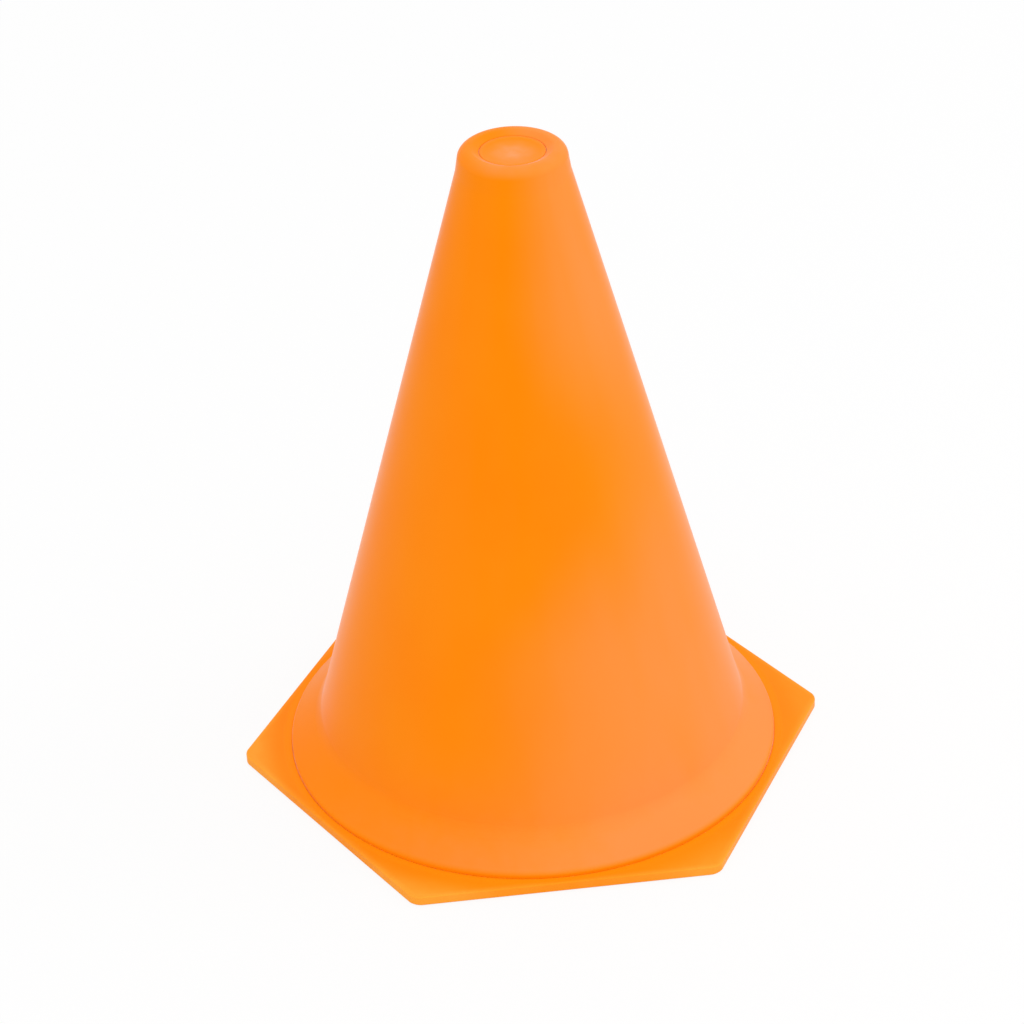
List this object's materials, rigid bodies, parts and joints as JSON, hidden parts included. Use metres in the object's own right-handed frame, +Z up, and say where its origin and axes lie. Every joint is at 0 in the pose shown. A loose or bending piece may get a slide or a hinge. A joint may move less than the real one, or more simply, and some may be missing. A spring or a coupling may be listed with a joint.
{
  "type": "sports marker cone",
  "caption": "Small stackable marker cone: thin hollow plastic cone with a flared skirt, plugged into a hexagonal base, its tip closed by a push-in plug.",
  "frame": {"origin": "centre of the base's underside, on the ground", "axes": "+Z up along the cone's axis, +X towards a corner of the six-sided base, +Y towards a flat"},
  "size_m": [0.2022, 0.1764, 0.229],
  "materials": {
    "cone_plastic": "satin moulded soft plastic",
    "base_plastic": "satin moulded soft plastic",
    "plug_plastic": "satin moulded soft plastic"
  },
  "bodies": {
    "cone": {"cone_body": "cone_plastic", "hex_base": "base_plastic"},
    "plug": {"top_plug": "plug_plastic"}
  },
  "joints": [
    {"name": "plug_pull", "type": "slide", "parent": "cone", "child": "plug", "axis": [0, 0, 1], "range_m": [0, 0.02]}
  ]
}
